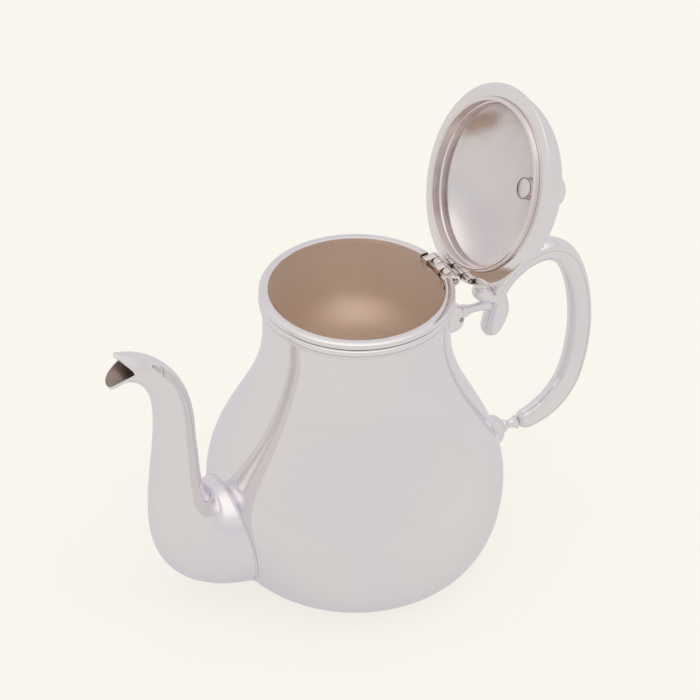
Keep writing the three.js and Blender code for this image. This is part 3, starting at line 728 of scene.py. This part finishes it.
def limb_half(side):
    """One half of the limb: side 1 is the rounded back, -1 the face."""
    if side > 0:
        depth = limb_depth * middle_share + seam_in
    else:
        depth = limb_depth * (1 - middle_share) - seam_in

    def surface(turn, length):
        at = limb_at(length)
        ahead = (limb_at(min(length + 0.002, 1)) - limb_at(max(length - 0.002, 0))).normalized()
        out = Vector((-ahead.z, 0, ahead.x)) * -side
        size = between(limb_sizes, length).x
        past = max(length - 1 + end_round, 0) / end_round
        size = size * math.sqrt(max(1 - past * past, tip_size))
        a = math.pi * min(turn / face_turn, 1)
        half = limb_width * size / 2
        y = half * math.cos(a)
        if turn > face_turn:
            y = -half + 2 * half * (turn - face_turn) / (1 - face_turn)
        rise = (seam_gap - side * seam_in * size) + depth * size * math.sin(a)
        return at + out * rise + Vector((0, y, 0))

    bm = wrap(surface, 40, 260)
    close_ends(bm)
    soften(bm, limb_rounding)
    return bm


# The limb is darkened to brown in its seam groove and where it meets other parts, found by ambient
# occlusion: painted shade, which also stands in for the seam's solder line.
limb_silver = metal(
    "limb_silver", polish_marks, light=(0.91, 0.885, 0.875), shade=(0.87, 0.855, 0.885),
    bright=0.03, dull=0.09, bump=0.000004, crevice_shade=(0.8, (0.4, 0.31, 0.27)))
for name, node, side in (("limb_back", "handle_back", 1), ("limb_face", "handle_face", -1)):
    limb = new_piece(name, limb_half(side), limb_silver)
    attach(limb, "pot")
    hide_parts(node)

# ---------------------------------------------------------------- scroll under the limb's top end
# A cast thumb-piece that closes the limb: a scroll hangs down inside the grip, and a spur turns
# back over the stem. The two run into each other without a corner.
scroll_rows = [  # out and up from the limb's end, half-thickness, half-width
    (0, 2.4, 1.6, 1.8), (0, 0, 4, 4.6), (1.2, -4.6, 4.4, 5), (1.3, -9.5, 5, 5.5),
    (-0.4, -15, 4.8, 5.3), (-2.2, -19.6, 3.6, 4.2), (-3.2, -22.4, 0.05, 0.05),
]
spur_rows = [
    (2.6, -4, 0.05, 0.05), (1, -3, 3, 4), (-2.5, -1.4, 3.1, 4.3), (-5.8, 0.8, 3.7, 4.6),
    (-8.6, 3.2, 3.2, 3.9), (-10.3, 5.2, 0.05, 0.05),
]
horn_point = 0.02


def horn(start, rows):
    """A rounded horn along a line in the mirror plane."""
    def surface(turn, length):
        place = between([row[:2] for row in rows], length)
        beyond = between([row[:2] for row in rows], min(length + 0.01, 1))
        behind = between([row[:2] for row in rows], max(length - 0.01, 0))
        ahead = (beyond - behind).normalized()
        thick, wide = between([row[2:] for row in rows], length)
        a = 2 * math.pi * turn
        offset = max(thick, horn_point) * math.sin(a)
        y = max(wide, horn_point) * math.cos(a)
        return start + Vector((place.x - ahead.y * offset, y, place.y + ahead.x * offset))

    bm = wrap(surface, 32, 40)
    close_ends(bm)
    return bm


def joined(*parts):
    """Several meshes in one."""
    whole = bmesh.new()
    for part in parts:
        carried = bpy.data.meshes.new("carried")
        part.to_mesh(carried)
        part.free()
        whole.from_mesh(carried)
        bpy.data.meshes.remove(carried)
    return whole


scroll = new_piece(
    "scroll_end", joined(horn(limb_top, scroll_rows), horn(limb_top, spur_rows)), polished)
blend = scroll.modifiers.new("cast as one", "REMESH")
blend.mode = "VOXEL"
blend.voxel_size = 0.35 * MM
blend.use_smooth_shade = True
ease_in = scroll.modifiers.new("polished down", "SMOOTH")
ease_in.factor = 0.5
ease_in.iterations = 14
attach(scroll, "pot")
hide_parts("handle_scroll")

# ---------------------------------------------------------------- hinge
# A five-knuckle hinge let into the rim: three knuckles and a pocketed leaf belong to the pot, two
# to the lid, and one steel pin runs through all of them.
# The hinge silver is darkened to near-black in the crevices between knuckles and leaf, where
# ambient occlusion finds them: painted shade.
hinge_silver = metal(
    "hinge_silver", polish_marks, light=(0.9, 0.85, 0.81), shade=(0.78, 0.71, 0.67),
    bright=0.07, dull=0.16, bump=0.00002, crevice_shade=(1.5, (0.17, 0.12, 0.1)))
# A near-black silver for the bed of the hinge pocket: painted shade in the pocket.
pocket_shade = metal(
    "pocket_shade", polish_marks, light=(0.2, 0.15, 0.13), shade=(0.12, 0.085, 0.075),
    bright=0.25, dull=0.4, bump=0.00002)
knuckle_radius = 2.5
knuckle_rounding = 0.3
pocket_drop = 2.6
lug_set_back = 0.3
lug_rounding = 0.35
leaf_back = hinge.x - 0.4
rod_radius = 0.9
rod_collar = 0.35
rod_proud = 0.05
tongue_rounding = 0.45


def knuckle(node):
    low, high = box_mm(node)
    bm = bmesh.new()
    middle = Matrix.Translation((hinge.x, (low.y + high.y) / 2, hinge.z))
    across = middle @ Matrix.Rotation(math.pi / 2, 4, "X")
    bmesh.ops.create_cone(
        bm, cap_ends=True, segments=48, radius1=knuckle_radius, radius2=knuckle_radius,
        depth=high.y - low.y, matrix=across)
    soften(bm, knuckle_rounding)
    return bm


for node in ("hinge_knuckle_pot_near", "hinge_knuckle_pot_middle", "hinge_knuckle_pot_far"):
    piece = new_piece(node.replace("hinge_knuckle_", "barrel_"), knuckle(node), hinge_silver)
    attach(piece, "pot")
    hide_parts(node)
for node in ("hinge_knuckle_lid_near", "hinge_knuckle_lid_far"):
    piece = new_piece(node.replace("hinge_knuckle_", "barrel_"), knuckle(node), hinge_silver)
    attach(piece, "lid")
    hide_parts(node)

leaf_low, leaf_high = box_mm("hinge_leaf_pot")
lugs = []
for node in ("hinge_knuckle_pot_near", "hinge_knuckle_pot_middle", "hinge_knuckle_pot_far"):
    low, high = box_mm(node)
    front = math.sqrt(mouth ** 2 - max(abs(low.y), abs(high.y)) ** 2) + lug_set_back
    outline = [
        (front, leaf_low.z), (leaf_back, leaf_low.z), (leaf_back, hinge.z + knuckle_radius - 0.1),
        (front, leaf_high.z)]
    lug = block(outline, (high.y - low.y) / 2, lug_rounding, 3)
    bmesh.ops.translate(lug, vec=(0, (low.y + high.y) / 2, 0), verts=lug.verts[:])
    lugs.append(lug)
bed_top = leaf_high.z - pocket_drop
bed = cut_ring(
    [(mouth, leaf_low.z), (mouth, bed_top), (leaf_back, bed_top), (leaf_back, leaf_low.z)],
    hinge_half, keep_gap=True)
# The bed's top and sides take the near-black silver as painted shade in the pocket; its face
# towards the inside takes the tea satin.
for face in bed.faces:
    middle = face.calc_center_median()
    face.material_index = 2 if Vector((middle.x, middle.y)).length < mouth + 0.05 else 1
leaf = new_piece("leaf_pot", joined(*lugs, bed), hinge_silver, pocket_shade, tea_satin)
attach(leaf, "pot")
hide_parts("hinge_leaf_pot")

bm = cross_pin(hinge.x, hinge.z, hinge_half + rod_proud, rod_radius, rod_collar)
hinge_rod = new_piece("hinge_rod", bm, steel, gap_dark)
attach(hinge_rod, "pot")
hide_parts("hinge_pin")

# ---------------------------------------------------------------- lid
# The lid is turned like the body: a dome with two rim wires under it and a bezel that drops into
# the mouth. It is made shut and swung back about the hinge to its stop, as it stands here.
lid_joint = frame["joints"][0]
open_angle = -math.radians(lid_joint["range_deg"][0])
swing = Matrix.Rotation(open_angle, 3, "Y")


def swung(bm):
    """A piece made in the closed lid, turned to the open stop."""
    bmesh.ops.rotate(bm, cent=hinge, matrix=swing, verts=bm.verts[:])
    return bm


lid_plane = rim_top + joint_gap
lid_rim = 41.8
lid_lip_height = 1.9
lid_step_rim = 40.4
lid_step_height = 1.8
dome_rim = 39.2
dome_height = 23.2
dome_wall = 1.2
bezel_out = 35.9
bezel_wall = 1.7
bezel_drop = 2.2
crown = lid_plane + dome_height
lid_centre = (swing @ (Vector((0, 0, lid_plane)) - hinge) + hinge) * MM
lid_turn = (lid_centre, open_angle)
lid_satin = metal(
    "lid_satin", turning_rings, light=(0.83, 0.79, 0.785), shade=(0.79, 0.745, 0.745),
    bright=0.2, dull=0.28, bump=0.000003, turn=lid_turn)

dome_bottom = lid_plane + lid_lip_height + lid_step_height + 0.6
dome_edge = dome_bottom - 0.3
dome_steep = 0.5  # shares that set how full the dome is
dome_full = 0.52
rise = crown - dome_bottom


def dome_curve(inset):
    side = dome_rim - inset
    return curve(
        (side, dome_bottom), (side, dome_bottom + dome_steep * rise),
        (dome_full * side, crown - inset), (0, crown - inset), 36)


outer = [(dome_rim, dome_edge)] + dome_curve(0) + [(0, crown)]
inner = [(0, crown - dome_wall)] + dome_curve(dome_wall)[::-1] + [(dome_rim - dome_wall, dome_edge)]
bm = lathe(outer + inner, closed=True)
for face in bm.faces:
    middle = face.calc_center_median()
    if face.normal.dot(Vector((middle.x, middle.y, 2 * (middle.z - dome_bottom) + 4))) < 0:
        face.material_index = 1
dome = new_piece("dome", swung(bm), polished, lid_satin)
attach(dome, "lid")
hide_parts("lid_dome")

# The lid's lip wire: half-round, the widest ring of the lid.
lip_bottom = lid_plane
lip_top = lid_plane + lid_lip_height
lid_lip_points = (
    [(bezel_out, lip_bottom), (lid_rim - 0.8, lip_bottom)]
    + curve((lid_rim - 0.8, lip_bottom), (lid_rim - 0.1, lip_bottom + 0.05),
            (lid_rim, lip_bottom + 0.4), (lid_rim, lip_bottom + 0.95), 7)
    + curve((lid_rim, lip_bottom + 0.95), (lid_rim, lip_top - 0.3), (lid_rim - 0.2, lip_top - 0.05),
            (lid_rim - 0.8, lip_top), 7)
    + [(lid_rim - 0.8, lip_top), (lid_step_rim - 0.2, lip_top - 0.1),
       (lid_step_rim - 0.5, lip_top - 0.6), (bezel_out, lip_top - 0.6)])
lid_lip = new_piece("lid_lip_wire", swung(lathe(lid_lip_points, closed=True)), wire_silver)
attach(lid_lip, "lid")
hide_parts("lid_lip")

# The step above it: a narrower wire, parted from the lip by a fine groove.
step_bottom = lip_top + joint_gap
step_top = step_bottom + lid_step_height
step_points = (
    [(bezel_out, step_bottom - 0.85), (lid_step_rim - 0.95, step_bottom - 0.85)]
    + curve((lid_step_rim - 0.9, step_bottom), (lid_step_rim, step_bottom + 0.1),
            (lid_step_rim, step_top - 0.2), (lid_step_rim - 0.8, step_top), 12)
    + [(lid_step_rim - 0.8, step_top), (dome_rim - 0.6, step_top + 0.3),
       (bezel_out, step_top + 0.3)])
lid_step = new_piece("lid_step_wire", swung(lathe(step_points, closed=True)), wire_silver)
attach(lid_step, "lid")
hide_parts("lid_step")

# The bezel: a plain ring inside the wires that centres the lid in the mouth.
bezel_bottom = lid_plane - bezel_drop
bead = 1.2
bead_tall = 4.6
bead_rise = 2.2
bezel_in = bezel_out - bezel_wall
bead_top = step_top + bead_rise
bezel_points = (
    curve((bezel_in + 0.4, bead_top), (bezel_in - bead, bead_top),
          (bezel_in - bead, bead_top - bead_tall), (bezel_in, bead_top - bead_tall), 16)
    + [(bezel_in, bead_top - bead_tall)]
    + curve((bezel_in, bezel_bottom + 0.8), (bezel_in, bezel_bottom),
            (bezel_in + 0.2, bezel_bottom), (bezel_in + 1, bezel_bottom), 7)
    + curve((bezel_out - 0.8, bezel_bottom), (bezel_out - 0.1, bezel_bottom + 0.1),
            (bezel_out, bezel_bottom + 0.3), (bezel_out, bezel_bottom + 0.9), 6)
    + [(bezel_out, bead_top)])
# The bezel's warm, darker tone is a painted reflection of the tea-brown inside of the pot.
bezel_silver = metal(
    "bezel_silver", turning_rings, light=(0.9, 0.845, 0.82), shade=(0.84, 0.775, 0.75),
    bright=0.1, dull=0.2, bump=0.000003, turn=lid_turn)
bezel = new_piece("bezel_ring", swung(lathe(bezel_points, closed=True)), bezel_silver)
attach(bezel, "lid")
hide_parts("lid_bezel")

# The lid's leaf: two short tongues under the lip wire, one behind each of the lid's knuckles.
tongues = []
for node in ("hinge_knuckle_lid_near", "hinge_knuckle_lid_far"):
    low, high = box_mm(node)
    tongue_side = [
        (hinge.x - 1.9, hinge.z + 1.7), (hinge.x + 2.2, hinge.z + 1.7),
        (hinge.x + 2.2, lid_plane + 0.2), (hinge.x - 1.9, lid_plane + 0.2)]
    part = block(tongue_side, (high.y - low.y) / 2, tongue_rounding, 4)
    bmesh.ops.translate(part, vec=(0, (low.y + high.y) / 2, 0), verts=part.verts[:])
    tongues.append(part)
lid_leaf = new_piece("leaf_lid", swung(joined(*tongues)), hinge_silver)
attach(lid_leaf, "lid")
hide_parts("hinge_leaf_lid")

# ---------------------------------------------------------------- finial and its nut
# A cast button stands on the crown on a short neck, and a round nut inside the lid holds its shank,
# which is hidden and isn't made here.
finial_radius = 7.4
finial_height = 16
seat = crown + joint_gap
button = (
    [(0, seat - 0.6), (finial_radius * 0.75, seat - 0.6)]
    + curve((finial_radius * 0.75, seat), (finial_radius * 0.72, seat + 0.11 * finial_height),
            (finial_radius * 0.42, seat + 0.13 * finial_height),
            (finial_radius * 0.42, seat + 0.32 * finial_height), 12)
    + curve((finial_radius * 0.42, seat + 0.32 * finial_height),
            (finial_radius * 0.45, seat + 0.45 * finial_height),
            (finial_radius, seat + 0.47 * finial_height),
            (finial_radius, seat + 0.68 * finial_height), 14)
    + curve((finial_radius, seat + 0.68 * finial_height),
            (finial_radius, seat + 0.9 * finial_height),
            (finial_radius * 0.6, seat + finial_height), (0, seat + finial_height), 18)
    + [(0, seat + finial_height)])
finial = new_piece("button", swung(lathe(button, 64)), polished)
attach(finial, "lid")
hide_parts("finial")

nut_radius = 4.6
nut_thickness = 2.4
nut_top = crown - dome_wall
nut_low = nut_top - nut_thickness - joint_gap
nut_points = (
    curve((0, nut_low), (1.4, nut_low), (2.6, nut_low + 0.1),
          (nut_radius - 0.7, nut_low + 0.35), 10)
    + curve((nut_radius - 0.7, nut_low + 0.35), (nut_radius - 0.1, nut_low + 0.5),
            (nut_radius, nut_low + 0.8), (nut_radius, nut_low + 1.2), 6)
    + [(nut_radius, nut_low + 1.2), (nut_radius - 0.35, nut_low + 1.35),
       (nut_radius - 0.35, nut_top), (0, nut_top)])
# The nut is darkened in its crevices, where ambient occlusion finds them: painted shade.
nut_silver = metal(
    "nut_silver", polish_marks, light=(0.84, 0.8, 0.79), shade=(0.8, 0.76, 0.76),
    bright=0.16, dull=0.24, bump=0.00001, crevice_shade=(0.5, (0.5, 0.42, 0.39)))
nut = new_piece("round_nut", swung(lathe(nut_points, 64)), nut_silver)
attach(nut, "lid")
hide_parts("finial_nut")

# ---------------------------------------------------------------- floor
# A plain pale sheet, lit a little from below as on a light table, so that shadows stay faint.
floor_half = 6
bm = bmesh.new()
bmesh.ops.create_grid(bm, x_segments=8, y_segments=8, size=floor_half / MM)
paper = bpy.data.materials.new("pale_paper")
paper.use_nodes = True
paper_tree = paper.node_tree
paper_shader = paper_tree.nodes["Principled BSDF"]
paper_shader.inputs["Base Color"].default_value = (0.25, 0.243, 0.225, 1)
paper_shader.inputs["Roughness"].default_value = 1
paper_shader.inputs["Specular IOR Level"].default_value = 0
paper_shader.inputs["Emission Strength"].default_value = 1
seen = add(paper_tree, "ShaderNodeLightPath")
paper_glow = add(paper_tree, "ShaderNodeMix", {"data_type": "RGBA"})
paper_glow.inputs[6].default_value = (0.522, 0.516, 0.505, 1)
paper_glow.inputs[7].default_value = (0.735, 0.722, 0.664, 1)
paper_tree.links.new(seen.outputs["Is Camera Ray"], paper_glow.inputs["Factor"])
paper_tree.links.new(paper_glow.outputs[2], paper_shader.inputs["Emission Color"])
paper_floor = new_piece("paper_floor", bm, paper)

# ---------------------------------------------------------------- light
# A light tent: pale all round, a little cooler and dimmer at the sides, with a broad soft top
# light. A small lamp over the open mouth lights the inside. Neither lamp shows in reflections.
world = bpy.data.worlds.new("light_tent")
bpy.context.scene.world = world
world.use_nodes = True
tent = world.node_tree
glow = tent.nodes["Background"]
direction = add(tent, "ShaderNodeTexCoord")
split = add(tent, "ShaderNodeSeparateXYZ")
climb = add(tent, "ShaderNodeValToRGB")
climb.color_ramp.interpolation = "EASE"
tent_strength = 2
tent_colours = [  # (height of the direction, colour)
    (0, (0.745, 0.715, 0.69)), (0.3, (0.735, 0.71, 0.71)), (0.55, (0.7, 0.68, 0.7)),
    (0.8, (0.78, 0.76, 0.76)), (1, (1.1, 1.065, 1.03))]
for step in range(len(tent_colours) - 2):
    climb.color_ramp.elements.new(0.5)
for stop, (height, colour) in zip(climb.color_ramp.elements, tent_colours):
    stop.position = height
    stop.color = (*(value / tent_strength for value in colour), 1)
tent.links.new(direction.outputs["Generated"], split.inputs[0])
tent.links.new(split.outputs["Z"], climb.inputs["Fac"])
tent.links.new(climb.outputs["Color"], glow.inputs["Color"])
glow.inputs["Strength"].default_value = tent_strength
backdrop = add(tent, "ShaderNodeBackground", Color=(0.956, 0.93, 0.855, 1), Strength=1)
tent_path = add(tent, "ShaderNodeLightPath")
tent_mix = add(tent, "ShaderNodeMixShader")
tent.links.new(tent_path.outputs["Is Camera Ray"], tent_mix.inputs[0])
tent.links.new(glow.outputs[0], tent_mix.inputs[1])
tent.links.new(backdrop.outputs[0], tent_mix.inputs[2])
tent.links.new(tent_mix.outputs[0], tent.nodes["World Output"].inputs["Surface"])


def softbox(name, place, target, size, power, colour=(1, 0.985, 0.96)):
    light = bpy.data.lights.new(name, "AREA")
    light.shape = "DISK"
    light.size = size
    light.energy = power
    light.color = colour
    lamp = bpy.data.objects.new(name, light)
    lamp.location = place
    lamp.rotation_euler = (Vector(target) - Vector(place)).to_track_quat("-Z", "Y").to_euler()
    bpy.context.scene.collection.objects.link(lamp)
    return lamp


high_softbox = softbox(
    "high_softbox", place=(0.5, -0.3, 1.25), target=(0, 0, 0.05), size=0.9, power=1.6)
high_softbox.visible_glossy = False
lamp_lift = 4
mouth_light = softbox(
    "mouth_light", place=(0, 0, (rim_top + lamp_lift) * MM), target=(0, 0, 0), size=0.056,
    power=0.026, colour=(0.88, 0.97, 1))
mouth_light.visible_glossy = False
mouth_light.visible_camera = False
mouth_light.data.spread = math.radians(42)

# ---------------------------------------------------------------- camera
# Looks down on the pot from the spout's near side, from far enough to keep the perspective calm.
height_angle = math.radians(36.55)
turn_angle = math.radians(27.1)
roll = -0.01
away = 0.9
shift_right = -0.0026
shift_up = -0.0258
view_back = Vector((
    -math.sin(turn_angle) * math.cos(height_angle),
    -math.cos(turn_angle) * math.cos(height_angle),
    math.sin(height_angle)))
view_right = Vector((math.cos(turn_angle), -math.sin(turn_angle), 0))
view_up = view_back.cross(view_right)
lens = bpy.data.cameras.new("camera")
lens.sensor_width = 36
lens.lens = 113.2
lens.clip_end = 20
camera = bpy.data.objects.new("camera", lens)
local_x = view_right * math.cos(roll) - view_up * math.sin(roll)
local_y = view_right * math.sin(roll) + view_up * math.cos(roll)
facing = Matrix((local_x, local_y, view_back)).transposed().to_4x4()
aim = Vector((0, 0, rim_top * MM))
spot = aim + view_back * away + view_right * shift_right + view_up * shift_up
camera.matrix_world = Matrix.Translation(spot) @ facing
bpy.context.scene.collection.objects.link(camera)
bpy.context.scene.camera = camera
bpy.context.scene.view_settings.view_transform = "Standard"
bpy.context.scene.cycles.glossy_bounces = 12
bpy.context.scene.cycles.diffuse_bounces = 8
bpy.context.scene.cycles.max_bounces = 16
